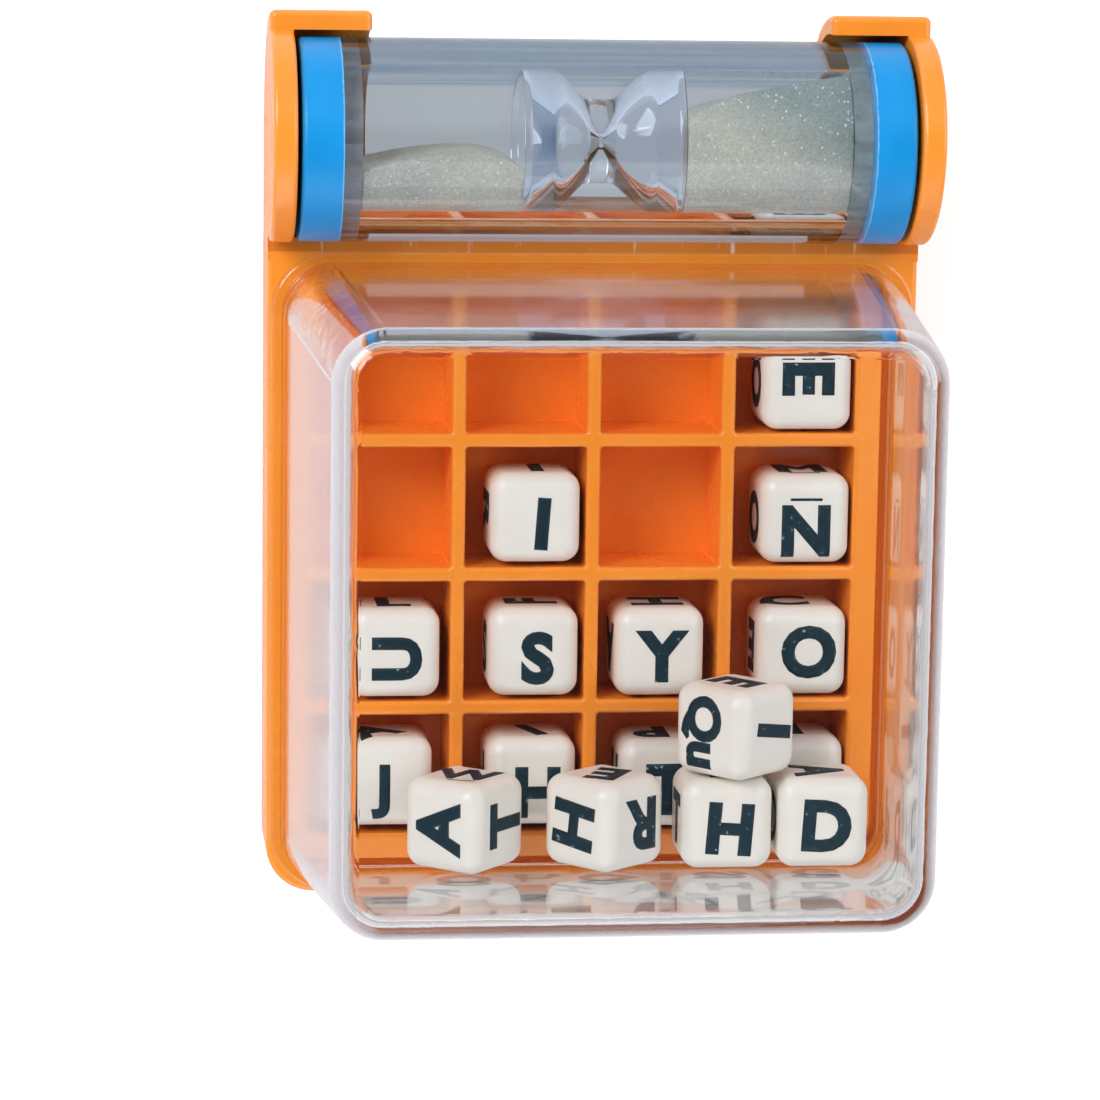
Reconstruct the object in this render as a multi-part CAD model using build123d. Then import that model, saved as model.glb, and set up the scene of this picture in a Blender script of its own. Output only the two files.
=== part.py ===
from build123d import *
import math
import os

# Miniature letter dice word game: a tray of cells under a clear cover, letter dice, and a sand timer
# in two cradles on the tray's rear edge. Millimetres. The toy lies on its underside: +Z is up out of
# the cells, +Y points from the tray to the timer. The origin is the middle of the footprint, on the
# underside.

# ---- tray ----
tray_front_corner = 2.8
rim_margin = 0.2             # the flat rim stands out this much beyond the cover's flange
rear_margin = 0.4            # how much further the rear edge stands out than the sides
rim_height = 5.8             # underside to the flat rim that carries the cover
rib_rise = 0.3               # the grid stands this much above the rim
cells_per_side = 4
cell_pitch = 7.9
rib_top = 0.8
cell_depth = 4.9
cell_draft = 1.3             # degrees on each cell wall
cell_corner = 0.2
cell_mouth_round = 0.25
border_width = 1.45
border_corner = 1.95
rim_edge_round = 0.3

# ---- cover ----
cover_height = 22.0          # above the rim
cover_wall = 1.0
wall_gap = 0.45              # between the grid's border and the cover's wall
cover_draft = 4.75           # degrees
cover_corner = 3.0           # of the wall's outside, from foot to top
cover_edge_round = 1.55
cover_inner_round = 0.6
flange_lip = 0.5             # stands out beyond the wall's foot
flange_height = 0.7
flange_corner = 3.5
tongue_depth = 1.1
tongue_thickness = 0.65
tongue_clearance = 0.1

# ---- dice ----
die_size = 5.3
die_edge_round = 1.0
die_side_gap = 0.05          # least gap between a die and the foot of its cell's wall
# row and column of each die that lies in a cell, and how far it has slid along X and Y as a share
# of the play that it has there
cell_dice = [
    (1, 4, 0.88, -0.95),
    (2, 2, 0.74, -0.81),
    (2, 4, 0.95, -0.95),
    (3, 1, 0.41, -0.88),
    (3, 2, 0.74, -0.88),
    (3, 3, 0.14, -0.95),
    (3, 4, 0.95, -0.95),
    (4, 1, -0.14, -0.61),
    (4, 2, 0.68, -0.68),
    (4, 3, 0.68, -0.95),
    (4, 4, 0.95, -0.81),
]
# loose dice along the cover's front wall, from its +X wall inwards: name, gap before it, turn about Y
front_dice = [
    ("d", 1.05, 0.0),
    ("c", 0.35, 0.0),
    ("b", 1.05, -49.0),
    ("a", 1.5, -40.0),
]
stacked_turn = -48.5         # die e, which stands behind die c
stacked_shift = 0.6          # along X from die c
loose_wall_gap = 0.3         # between the front row of loose dice and the cover's wall
stack_gap = 0.15

# ---- timer ----
tube_radius = 5.8
tube_wall = 1.7
timer_end_gap = 0.25         # between each cap and the end plate of its cradle
cap_length = 2.35
cap_edge_round = 0.25
spigot_length = 1.1
neck_length = 9.2
neck_shift = -0.2
neck_wall = 0.45             # at the mouths
neck_radius = 2.4
neck_flat = 0.7              # half the length of the straight neck
bell_reach = 3.0             # from the pinhole to where a bell meets the bore
pinhole_radius = 0.3
pinhole_flat = 0.15
mouth_land = 0.3
# height of the sand along each chamber from -X to +X, as shares of the bore's radius from its axis
sand_crest_left = [-0.34, -0.2, -0.12, -0.11, -0.33]
sand_crest_right = [0.32, 0.59, 0.7, 0.78, 0.86]

# ---- cradles ----
cradle_clearance = 0.25      # round the timer, inside each trough
cradle_wall = 1.05
cradle_length = 5.8
cradle_rear_gap = 0.05       # between the tray's rear edge and the inside of the troughs
cradle_axis_rise = 1.3       # above the rim
lip_rise = 0.7               # above the cradle's axis
lip_round = 0.35
end_round = 0.35             # on the arcs at both ends of a cradle
plate_thickness = 1.35
plate_round = 0.25
timer_seat_gap = 0.02
timer_seat_angle = 209.5     # degrees, where the tube bears on the trough

# ---- what follows from the sizes above ----
grid_width = cells_per_side * cell_pitch - rib_top
border_outer = grid_width + 2 * border_width
cover_inner = border_outer + 2 * wall_gap
cover_foot = cover_inner + 2 * cover_wall
flange_outer = cover_foot + 2 * flange_lip
tray_width = flange_outer + 2 * rim_margin
tray_rear = tray_width / 2 + rear_margin
bore_radius = tube_radius - tube_wall
cradle_radius = tube_radius + cradle_clearance
cradle_outer = cradle_radius + cradle_wall
cradle_axis_y = tray_rear + cradle_rear_gap + cradle_radius
overall_length = tray_width / 2 + cradle_axis_y + cradle_outer
grid_y = tray_width / 2 - overall_length / 2
cradle_y = grid_y + cradle_axis_y
cradle_z = rim_height + cradle_axis_rise
lip_z = cradle_z + lip_rise
grid_top = rim_height + rib_rise
groove_depth = tongue_depth + tongue_clearance
cell_mouth = cell_pitch - rib_top
cell_floor = grid_top - cell_depth
cell_floor_half = cell_mouth / 2 - cell_depth * math.tan(math.radians(cell_draft))
cell_play = cell_floor_half - die_size / 2 - die_side_gap
dice_top = cell_floor + die_size
timer_length = tray_width - 2 * (plate_thickness + timer_end_gap)
seat_distance = cradle_radius - tube_radius - timer_seat_gap
timer_y = cradle_y + seat_distance * math.cos(math.radians(timer_seat_angle))
timer_z = cradle_z + seat_distance * math.sin(math.radians(timer_seat_angle))
tube_half = timer_length / 2 - cap_length


def cell_middle(row, column):
    """Middle of a cell; row 1 is nearest the timer, column 1 is at -X."""
    x = (column - (cells_per_side + 1) / 2) * cell_pitch
    y = grid_y + ((cells_per_side + 1) / 2 - row) * cell_pitch
    return x, y


def rounded_square(width, corner, z):
    """Square outline round the middle of the grid at height z."""
    return Plane((0, grid_y, z)) * RectangleRounded(width, width, corner)


def disc_along_x(radius, x_from, x_to, y, z):
    """Cylinder that lies along the X axis between two stations."""
    axis = Plane(origin=(x_from, y, z), x_dir=(0, 1, 0), z_dir=(1, 0, 0))
    return extrude(axis * Circle(radius), amount=x_to - x_from)


def block(x_range, y_range, z_range):
    """Box between two corners."""
    size = [high - low for low, high in (x_range, y_range, z_range)]
    middle = [(high + low) / 2 for low, high in (x_range, y_range, z_range)]
    return Pos(*middle) * Box(*size)


def tray_block():
    """Tray body with its front corners rounded and its rim edge eased."""
    half = tray_width / 2
    body = block((-half, half), (grid_y - half, grid_y + tray_rear), (0, rim_height))
    front = [e for e in body.edges().filter_by(Axis.Z) if e.center().Y < grid_y]
    body = fillet(front, tray_front_corner)
    top = body.faces().sort_by(Axis.Z)[-1].edges()
    outer = [e for e in top if e.center().Y < grid_y + tray_rear - 0.01]
    return fillet(outer, rim_edge_round)


def grid_block():
    """Raised border and ribs, before the cells are cut."""
    foot = rim_height - 2 * groove_depth
    outline = rounded_square(border_outer, border_corner, foot)
    return extrude(outline, amount=grid_top - foot)


def cover_groove():
    """Groove round the grid that takes the tongue of the cover."""
    width = cover_inner + 2 * (tongue_thickness + tongue_clearance)
    outer = rounded_square(width, cover_corner, rim_height)
    return extrude(outer, amount=-groove_depth)


def cell_pocket(row, column):
    """One drafted cell, as the solid that is cut away."""
    x, y = cell_middle(row, column)
    face = Plane((x, y, grid_top)) * RectangleRounded(cell_mouth, cell_mouth, cell_corner)
    return extrude(face, amount=-cell_depth, taper=cell_draft)


def cradle_blank(x_from, x_to):
    """Outside of a cradle between two stations: round behind the timer, square down to the underside."""
    reach = 2 * cradle_outer
    across = (-tray_width, tray_width)
    ring = disc_along_x(cradle_outer, x_from, x_to, cradle_y, cradle_z)
    foot = block((x_from, x_to), (grid_y + tray_rear - cradle_wall, cradle_y), (0, rim_height))
    above_rim = block(across, (cradle_y - reach, cradle_y), (rim_height, cradle_z + reach))
    above_lip = block(across, (cradle_y - reach, cradle_y + reach), (lip_z, cradle_z + reach))
    return ring + foot - above_rim - above_lip


def cradle(side):
    """Trough with its lip and the rounded end plate; side is -1 or 1."""
    inner = tray_width / 2 - cradle_length
    plate_inner = tray_width / 2 - plate_thickness
    outer = tray_width / 2
    low, high = sorted((side * inner, side * outer))
    trough = cradle_blank(low, high)
    bore_low, bore_high = sorted((0.0, side * plate_inner))
    trough -= disc_along_x(cradle_radius, bore_low, bore_high, cradle_y, cradle_z)
    lip_edges = [e for e in trough.edges().filter_by(Axis.X) if abs(e.center().Z - lip_z) < 0.01]
    trough = fillet(max(lip_edges, key=lambda e: e.center().Y), lip_round)
    arcs = [e for e in trough.edges().filter_by(GeomType.CIRCLE) if e.bounding_box().size.X < 0.01]
    trough = fillet([e for e in arcs if abs(e.radius - cradle_outer) < 0.01], end_round)
    plate_low, plate_high = sorted((side * plate_inner, side * outer))
    plate = disc_along_x(cradle_radius, plate_low, plate_high, cradle_y, cradle_z)
    plate = fillet(plate.edges().filter_by(GeomType.CIRCLE), plate_round)
    return trough + plate


def make_base():
    """Tray, grid and both cradles as one moulding."""
    base = tray_block() - cover_groove() + grid_block()
    for row in range(1, cells_per_side + 1):
        for column in range(1, cells_per_side + 1):
            base -= cell_pocket(row, column)
    mouths = [
        e for e in base.edges().group_by(Axis.Z)[-1]
        if abs(e.center().X) < grid_width / 2 + 0.01 and abs(e.center().Y - grid_y) < grid_width / 2 + 0.01
    ]
    base = fillet(mouths, cell_mouth_round)
    for side in (-1, 1):
        base += cradle(side)
    return base


def drafted_box(foot_width, foot_z, top_z, corner, edge_round):
    """Square box that narrows upwards, with corners of one radius and a rounded top edge."""
    top_width = foot_width - 2 * (top_z - foot_z) * math.tan(math.radians(cover_draft))
    foot = rounded_square(foot_width, corner, foot_z)
    top = rounded_square(top_width, corner, top_z)
    box = loft([foot.face(), top.face()], ruled=True)
    top_edges = box.faces().sort_by(Axis.Z)[-1].edges()
    return fillet(top_edges, edge_round)


def make_cover():
    """Clear cover: drafted shell, flange and the tongue that enters the groove."""
    outer = drafted_box(cover_foot, rim_height, rim_height + cover_height, cover_corner, cover_edge_round)
    flange = extrude(rounded_square(flange_outer, flange_corner, rim_height), amount=flange_height)
    flange = fillet(flange.faces().sort_by(Axis.Z)[-1].edges(), flange_height / 3)
    tongue_outer = cover_inner + 2 * tongue_thickness
    tongue_corner = cover_corner - tongue_clearance
    tongue = extrude(rounded_square(tongue_outer, tongue_corner, rim_height), amount=-tongue_depth)
    inner_top = rim_height + cover_height - cover_wall
    inner_corner = cover_corner - cover_wall
    inner = drafted_box(cover_inner, rim_height, inner_top, inner_corner, cover_inner_round)
    mouth = extrude(rounded_square(cover_inner, inner_corner, rim_height), amount=-tongue_depth)
    return outer + flange + tongue - inner - mouth


def wall_inside(z):
    """Distance of the cover's inner wall face from the middle of the grid at height z."""
    return cover_inner / 2 - (z - rim_height) * math.tan(math.radians(cover_draft))


def rounded_cube():
    """Die with all its edges and corners rounded."""
    cube = Box(die_size, die_size, die_size)
    return fillet(cube.edges(), die_edge_round)


def loose_die_rise(turn):
    """Height of a turned die's middle above the tops of the dice it lies on."""
    angle = math.radians(abs(turn) % 90)
    spread = math.cos(angle) + math.sin(angle)
    return die_size / 2 * spread - die_edge_round * (spread - 1)


def place_cell_dice():
    """The dice that lie in cells, by name."""
    dice = {}
    middle_z = cell_floor + die_size / 2
    for row, column, slid_x, slid_y in cell_dice:
        x, y = cell_middle(row, column)
        place = Pos(x + slid_x * cell_play, y + slid_y * cell_play, middle_z)
        dice[f"die_cell_r{row}c{column}"] = place * rounded_cube()
    return dice


def place_loose_dice():
    """The loose dice by name: a row along the front wall, and one behind die c."""
    dice = {}
    place_x = {}
    place_y = {}
    free_x = wall_inside(dice_top + die_size)
    for name, gap, turn in front_dice:
        rise = loose_die_rise(turn)
        place_x[name] = free_x - gap - rise
        place_y[name] = grid_y - wall_inside(dice_top + 2 * rise) + loose_wall_gap + die_size / 2
        place = Pos(place_x[name], place_y[name], dice_top + rise)
        dice[f"die_loose_{name}"] = place * Rot(0, turn, 0) * rounded_cube()
        free_x = place_x[name] - rise
    y = place_y["c"] + die_size + stack_gap
    place = Pos(place_x["c"] + stacked_shift, y, dice_top + loose_die_rise(stacked_turn))
    dice["die_loose_e"] = place * Rot(0, stacked_turn, 0) * rounded_cube()
    return dice


def revolve_along_x(points):
    """Solid of revolution about the timer's axis from points (station, radius)."""
    outline = [Vector(x, timer_y + r, timer_z) for x, r in points]
    face = make_face(Polyline(*outline, close=True))
    axis = Axis((0, timer_y, timer_z), (1, 0, 0))
    return revolve(face, axis=axis)


def make_tube():
    """Thick-walled clear tube."""
    tube = disc_along_x(tube_radius, -tube_half, tube_half, timer_y, timer_z)
    return tube - disc_along_x(bore_radius, -timer_length, timer_length, timer_y, timer_z)


def make_cap(side):
    """Blue end cap with the spigot that plugs the bore."""
    low, high = sorted((side * tube_half, side * timer_length / 2))
    cap = disc_along_x(tube_radius, low, high, timer_y, timer_z)
    rims = cap.edges().filter_by(GeomType.CIRCLE).sort_by(Axis.X)
    cap = fillet(rims[-1] if side > 0 else rims[0], cap_edge_round)
    low, high = sorted((side * (tube_half - spigot_length), side * tube_half))
    return cap + disc_along_x(bore_radius, low, high, timer_y, timer_z)


def hourglass(waist, mouth, flat, reach, roundness):
    """Solid that widens both ways from its waist.

    It runs straight for flat each side of its middle, opens until reach and runs straight beyond.
    Its roundness goes from 0, straight cones, to 1, round cups.
    """
    half = neck_length / 2
    stations = 12
    side = []
    for i in range(stations + 1):
        share = i / stations
        flare = (1 - roundness) * share + roundness * math.sin(share * math.pi / 2)
        side.append((flat + (reach - flat) * share, waist + (mouth - waist) * flare))
    side.append((half, mouth))
    points = [(-half, 0.0)] + [(-x, r) for x, r in reversed(side)] + side + [(half, 0.0)]
    return revolve_along_x([(neck_shift + x, r) for x, r in points])


def make_neck():
    """Thick hourglass insert: a straight neck that flares to the bore, with a funnel into its pinhole at each end."""
    body = hourglass(neck_radius, bore_radius, neck_flat, bell_reach, 0.3)
    funnels = hourglass(pinhole_radius, bore_radius - neck_wall, pinhole_flat, neck_length / 2 - mouth_land, 0.2)
    return body - funnels


def make_sand(x_from, x_to, heights):
    """Sand that lies against one side of the bore; heights are shares of its radius, along Y."""
    core = disc_along_x(bore_radius, x_from, x_to, timer_y, timer_z)
    step = (x_to - x_from) / (len(heights) - 1)
    crest = [
        (x_from + i * step, timer_y + share * bore_radius, timer_z)
        for i, share in enumerate(heights)
    ]
    foot_y = timer_y - 2 * bore_radius
    corners = [crest[-1], (x_to, foot_y, timer_z), (x_from, foot_y, timer_z), crest[0]]
    outline = make_face(Curve() + [Spline(*crest), Polyline(*corners)])
    heap = extrude(outline, amount=2 * bore_radius, both=True)
    return core & heap


def main():
    os.makedirs("parts", exist_ok=True)
    nodes = {
        "base_tray": make_base(),
        "clear_cover": make_cover(),
        "timer_tube": make_tube(),
        "timer_cap_left": make_cap(-1),
        "timer_cap_right": make_cap(1),
        "timer_neck": make_neck(),
    }
    chamber = tube_half - spigot_length
    neck_half = neck_length / 2
    nodes["timer_sand_left"] = make_sand(-chamber, neck_shift - neck_half, sand_crest_left)
    nodes["timer_sand_right"] = make_sand(neck_shift + neck_half, chamber, sand_crest_right)
    nodes.update(place_cell_dice())
    nodes.update(place_loose_dice())
    for name, shape in nodes.items():
        export_step(shape, f"parts/{name}.step")


main()
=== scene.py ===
# %% [markdown]
# # Letter dice word game, miniature travel case
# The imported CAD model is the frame: every solid is already in its place. This lesson dresses it.
# The moulded parts and the dice keep their CAD shapes and get real finishes. The letters, the sand
# and the waist of the timer are made here, because they need detail that a plain solid lacks.

# %% Load the frame
import math
import random

import bmesh
import bpy
from mathutils import Matrix, Vector, noise


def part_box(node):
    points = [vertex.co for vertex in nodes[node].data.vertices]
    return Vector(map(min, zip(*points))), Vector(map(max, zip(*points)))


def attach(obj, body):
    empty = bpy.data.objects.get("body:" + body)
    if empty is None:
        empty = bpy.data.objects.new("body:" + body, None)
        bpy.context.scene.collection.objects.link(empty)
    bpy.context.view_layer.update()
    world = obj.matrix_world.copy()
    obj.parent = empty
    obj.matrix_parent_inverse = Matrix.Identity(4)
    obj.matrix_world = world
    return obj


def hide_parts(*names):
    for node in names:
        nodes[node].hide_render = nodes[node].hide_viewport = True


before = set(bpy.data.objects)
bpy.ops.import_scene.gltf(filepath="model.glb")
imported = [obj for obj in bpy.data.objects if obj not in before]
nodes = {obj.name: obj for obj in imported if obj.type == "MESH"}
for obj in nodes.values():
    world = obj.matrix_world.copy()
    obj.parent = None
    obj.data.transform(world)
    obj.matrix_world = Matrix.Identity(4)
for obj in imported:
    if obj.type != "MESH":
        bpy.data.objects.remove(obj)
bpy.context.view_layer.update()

MM = 0.001
scene = bpy.context.scene

# %% [markdown]
# ## Camera
# The photograph looks down on the lying toy, a little from its left and from its timer side. The
# place, the three turns and the focal length were fitted to edges whose real sizes are known, so the
# camera is set from these numbers instead of by eye.

# %% Camera from the fitted view
CAMERA_PLACE_MM = (-29.58, 31.74, 235.56)
CAMERA_TURNS = (0.1594, 0.1176, -0.0143)
FOCAL_PIXELS = 3999.42
PICTURE_PIXELS = 1100
SENSOR_MM = 36.0
CLIP_FROM, CLIP_TO = 0.01, 20.0

camera_data = bpy.data.cameras.new("photograph_view")
camera = bpy.data.objects.new("photograph_view", camera_data)
scene.collection.objects.link(camera)
camera_data.sensor_width = SENSOR_MM
camera_data.lens = camera_data.sensor_width * FOCAL_PIXELS / PICTURE_PIXELS
camera_data.clip_start = CLIP_FROM
camera_data.clip_end = CLIP_TO
turn_x, turn_y, turn_z = CAMERA_TURNS
camera.matrix_world = (
    Matrix.Translation(Vector(CAMERA_PLACE_MM) * MM)
    @ Matrix.Rotation(-turn_y, 4, "Y")
    @ Matrix.Rotation(-turn_x, 4, "X")
    @ Matrix.Rotation(-turn_z, 4, "Z")
)
scene.camera = camera
print("lens in mm:", round(camera_data.lens, 1))

# %% [markdown]
# ## Light and floor
# A soft box up on the left, a wider one on the right and a low one in front give the broad, even
# light of a product photograph. None of them stands where the cover's flat front would mirror it
# into the camera, and the studio overhead is dark for the same reason: a white ceiling in that flat
# front would lie over everything inside as a pale veil. The floor is pale and glows a little to the
# camera, so that it reads as white and keeps the toy's shadow. Rays that come through clear plastic
# see an even, duller white there and a room a little darker, which is how the photograph's
# surroundings look through the cover and the tube.

# %% One helper for nodes and one for colours
def linear(code):
    """sRGB hex to linear RGBA."""
    channels = [int(code[i:i + 2], 16) / 255 for i in (1, 3, 5)]
    return [c / 12.92 if c <= 0.04045 else ((c + 0.055) / 1.055) ** 2.4 for c in channels] + [1.0]


def add(tree, kind, inputs=None, **settings):
    """Adds one node with its settings; inputs are values or the sockets that feed them."""
    made = tree.nodes.new(kind)
    for name, value in settings.items():
        setattr(made, name, value)
    for name, value in (inputs or {}).items():
        if isinstance(value, bpy.types.NodeSocket):
            tree.links.new(value, made.inputs[name])
        else:
            made.inputs[name].default_value = value
    return made


def new_tree(name):
    """An empty material with its node tree."""
    material = bpy.data.materials.new(name)
    material.use_nodes = True
    material.node_tree.nodes.clear()
    return material, material.node_tree


def to_camera(tree):
    """1 for rays straight from the camera."""
    return add(tree, "ShaderNodeLightPath").outputs["Is Camera Ray"]


# %% Floor
FLOOR_HALF = 1.5
FLOOR_DROP = 0.02 * MM
SPECKLES_PER_M = 60.0
FLOOR_GLOW = 0.42
THROUGH_GLOW = 0.64
THROUGH_SHARE = 0.92

floor_material, tree = new_tree("painted_board_floor")
place = add(tree, "ShaderNodeTexCoord").outputs["Object"]
speckle = add(tree, "ShaderNodeTexNoise", {"Vector": place, "Scale": SPECKLES_PER_M, "Detail": 3.0})
tone = add(tree, "ShaderNodeMix", {"Factor": speckle.outputs["Fac"], 6: linear("#E6E6E8"),
                                   7: linear("#EAEAEC")}, data_type="RGBA")
board = add(tree, "ShaderNodeBsdfPrincipled", {"Base Color": tone.outputs[2], "Roughness": 0.9})
glow = add(tree, "ShaderNodeEmission", {"Color": (1.0, 1.0, 1.0, 1.0)})
glow_level = add(tree, "ShaderNodeMath", {0: to_camera(tree), 1: FLOOR_GLOW}, operation="MULTIPLY")
tree.links.new(glow_level.outputs[0], glow.inputs["Strength"])
lit = add(tree, "ShaderNodeAddShader", {0: board.outputs[0], 1: glow.outputs[0]})
even = add(tree, "ShaderNodeEmission", {"Color": (1.0, 1.0, 1.0, 1.0), "Strength": THROUGH_GLOW})
through = add(tree, "ShaderNodeMath", {0: add(tree, "ShaderNodeLightPath").outputs["Is Transmission Ray"],
                                       1: THROUGH_SHARE}, operation="MULTIPLY")
seen = add(tree, "ShaderNodeMixShader", {"Fac": through.outputs[0], 1: lit.outputs[0], 2: even.outputs[0]})
add(tree, "ShaderNodeOutputMaterial", {"Surface": seen.outputs[0]})

floor_mesh = bpy.data.meshes.new("floor")
bm = bmesh.new()
bmesh.ops.create_grid(bm, x_segments=1, y_segments=1, size=FLOOR_HALF)
bmesh.ops.translate(bm, verts=bm.verts, vec=(0.0, 0.0, -FLOOR_DROP))
bm.to_mesh(floor_mesh)
bm.free()
floor = bpy.data.objects.new("floor", floor_mesh)
scene.collection.objects.link(floor)
floor_mesh.materials.append(floor_material)
print("floor in metres across:", 2 * FLOOR_HALF)

# %% World and lamps
WORLD_STOPS = [(0.0, "#D5DAE4"), (0.35, "#CCD2DC"), (0.90, "#BEC4CE"), (0.955, "#3A3E46"), (1.0, "#1C1E22")]
WORLD_FILL = 0.9
THROUGH_DIMMING = -0.1

world = bpy.data.worlds.new("studio")
scene.world = world
world.use_nodes = True
tree = world.node_tree
tree.nodes.clear()
direction = add(tree, "ShaderNodeTexCoord").outputs["Generated"]
height = add(tree, "ShaderNodeSeparateXYZ", {"Vector": direction})
room = add(tree, "ShaderNodeValToRGB", {"Fac": height.outputs["Z"]})
while len(room.color_ramp.elements) < len(WORLD_STOPS):
    room.color_ramp.elements.new(0.5)
for element, (stop, colour) in zip(room.color_ramp.elements, WORLD_STOPS):
    element.position = stop
    element.color = linear(colour)
fill = add(tree, "ShaderNodeMath", {0: add(tree, "ShaderNodeLightPath").outputs["Is Transmission Ray"],
                                    1: THROUGH_DIMMING, 2: WORLD_FILL}, operation="MULTIPLY_ADD")
around = add(tree, "ShaderNodeBackground", {"Color": room.outputs["Color"], "Strength": fill.outputs[0]})
white = add(tree, "ShaderNodeBackground", {"Color": (1.0, 1.0, 1.0, 1.0), "Strength": 1.0})
sky = add(tree, "ShaderNodeMixShader", {"Fac": to_camera(tree), 1: around.outputs[0], 2: white.outputs[0]})
add(tree, "ShaderNodeOutputWorld", {"Surface": sky.outputs[0]})

LAMPS = [
    ("soft_box_left", (-0.26, 0.22, 0.30), 0.22, 1.28),
    ("soft_box_right", (0.32, 0.12, 0.26), 0.30, 0.73),
    ("soft_box_front", (-0.06, -0.36, 0.24), 0.30, 0.57),
]
LAMP_TARGET = Vector((0.0, 0.0, 0.008))
for lamp_name, place, size, watts in LAMPS:
    lamp_data = bpy.data.lights.new(lamp_name, "AREA")
    lamp_data.shape = "SQUARE"
    lamp_data.size = size
    lamp_data.energy = watts
    lamp = bpy.data.objects.new(lamp_name, lamp_data)
    scene.collection.objects.link(lamp)
    lamp.location = place
    lamp.rotation_euler = (LAMP_TARGET - Vector(place)).to_track_quat("-Z", "Y").to_euler()
scene.view_settings.view_transform = "Standard"
print("lamps:", len(LAMPS), "world fill:", WORLD_FILL)

# %% [markdown]
# ## Orange tray
# The tray with its grid and cradles is one injection moulding in orange polystyrene. Such a surface
# is glossy but never quite even: the colour drifts by a shade over a few millimetres and the skin has
# a fine orange peel. The narrow strip of rim between the cover and the timer is painted darker
# brown, partly for grime and partly as painted shade of the timer above it, and rubbed pale in short
# strokes where the cover's edge scrapes it. The patterns come from noise on real millimetre scales.

# %% Orange moulded polystyrene
FLOW_MM = 5.0
PEEL_MM = 0.22
RUB_MM = 0.7
RUB_STRETCH = 0.12
# how far the rim strip is darkened, for grime and as painted shade of the timer
GRIME_AND_SHADE = 0.5
# the strip fades in and out between these distances behind the cover's back edge
STRIP_STARTS = (-0.05 * MM, 0.02 * MM)
STRIP_ENDS = (0.7 * MM, 0.9 * MM)
UP_FROM, UP_FULL = 0.6, 0.9
PEEL_DEPTH = 0.012 * MM
tray_low, tray_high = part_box("base_tray")
cover_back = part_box("clear_cover")[1].y

orange, tree = new_tree("orange_polystyrene_moulded")
place = add(tree, "ShaderNodeTexCoord").outputs["Object"]
flow = add(tree, "ShaderNodeTexNoise", {"Vector": place, "Scale": 1 / (FLOW_MM * MM), "Detail": 3.0,
                                        "Roughness": 0.6})
body = add(tree, "ShaderNodeMix", {"Factor": flow.outputs["Fac"], 6: linear("#FC8C26"),
                                   7: linear("#FF9C36")}, data_type="RGBA")
spot = add(tree, "ShaderNodeSeparateXYZ", {"Vector": place})
behind = add(tree, "ShaderNodeMapRange", {"Value": spot.outputs["Y"],
                                          "From Min": cover_back + STRIP_STARTS[0],
                                          "From Max": cover_back + STRIP_STARTS[1]})
before_tube = add(tree, "ShaderNodeMapRange", {"Value": spot.outputs["Y"],
                                               "From Min": cover_back + STRIP_ENDS[1],
                                               "From Max": cover_back + STRIP_ENDS[0]})
rub_place = add(tree, "ShaderNodeMapping", {"Vector": place, "Scale": (1.0, RUB_STRETCH, RUB_STRETCH)})
rub = add(tree, "ShaderNodeTexNoise", {"Vector": rub_place.outputs[0], "Scale": 1 / (RUB_MM * MM),
                                       "Detail": 2.0, "Roughness": 0.7})
rubbed = add(tree, "ShaderNodeMapRange", {"Value": rub.outputs["Fac"], "From Min": 0.60, "From Max": 0.68,
                                          "To Max": 0.55})
normal = add(tree, "ShaderNodeTexCoord").outputs["Normal"]
tilted = add(tree, "ShaderNodeSeparateXYZ", {"Vector": normal})
faces_up = add(tree, "ShaderNodeMapRange", {"Value": tilted.outputs["Z"], "From Min": UP_FROM,
                                            "From Max": UP_FULL})
strip = add(tree, "ShaderNodeMath", {0: behind.outputs[0], 1: before_tube.outputs[0]}, operation="MULTIPLY")
band = add(tree, "ShaderNodeMath", {0: strip.outputs[0], 1: faces_up.outputs[0]}, operation="MULTIPLY")
pale = add(tree, "ShaderNodeMath", {0: band.outputs[0], 1: rubbed.outputs[0]}, operation="MULTIPLY")
# grime and painted shade: the rim strip is darkened towards brown where the timer shades it
grime_and_shade = add(tree, "ShaderNodeMath", {0: band.outputs[0], 1: GRIME_AND_SHADE}, operation="MULTIPLY")
dulled = add(tree, "ShaderNodeMix", {"Factor": grime_and_shade.outputs[0], 6: body.outputs[2], 7: linear("#A8521E")},
             data_type="RGBA")
skin = add(tree, "ShaderNodeMix", {"Factor": pale.outputs[0], 6: dulled.outputs[2], 7: linear("#FFE3C8")},
           data_type="RGBA")
gloss = add(tree, "ShaderNodeMapRange", {"Value": flow.outputs["Fac"], "From Min": 0.3, "From Max": 0.7,
                                         "To Min": 0.18, "To Max": 0.32})
peel = add(tree, "ShaderNodeTexNoise", {"Vector": place, "Scale": 1 / (PEEL_MM * MM), "Detail": 2.0})
ripple = add(tree, "ShaderNodeBump", {"Height": peel.outputs["Fac"], "Strength": 0.35,
                                      "Distance": PEEL_DEPTH})
surface = add(tree, "ShaderNodeBsdfPrincipled", {"Base Color": skin.outputs[2], "Roughness": gloss.outputs[0],
                                                 "IOR": 1.55, "Normal": ripple.outputs[0]})
add(tree, "ShaderNodeOutputMaterial", {"Surface": surface.outputs[0]})
nodes["base_tray"].material_slots[0].material = orange
print("tray in mm:", [round(v / MM, 1) for v in tray_high - tray_low])

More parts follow.
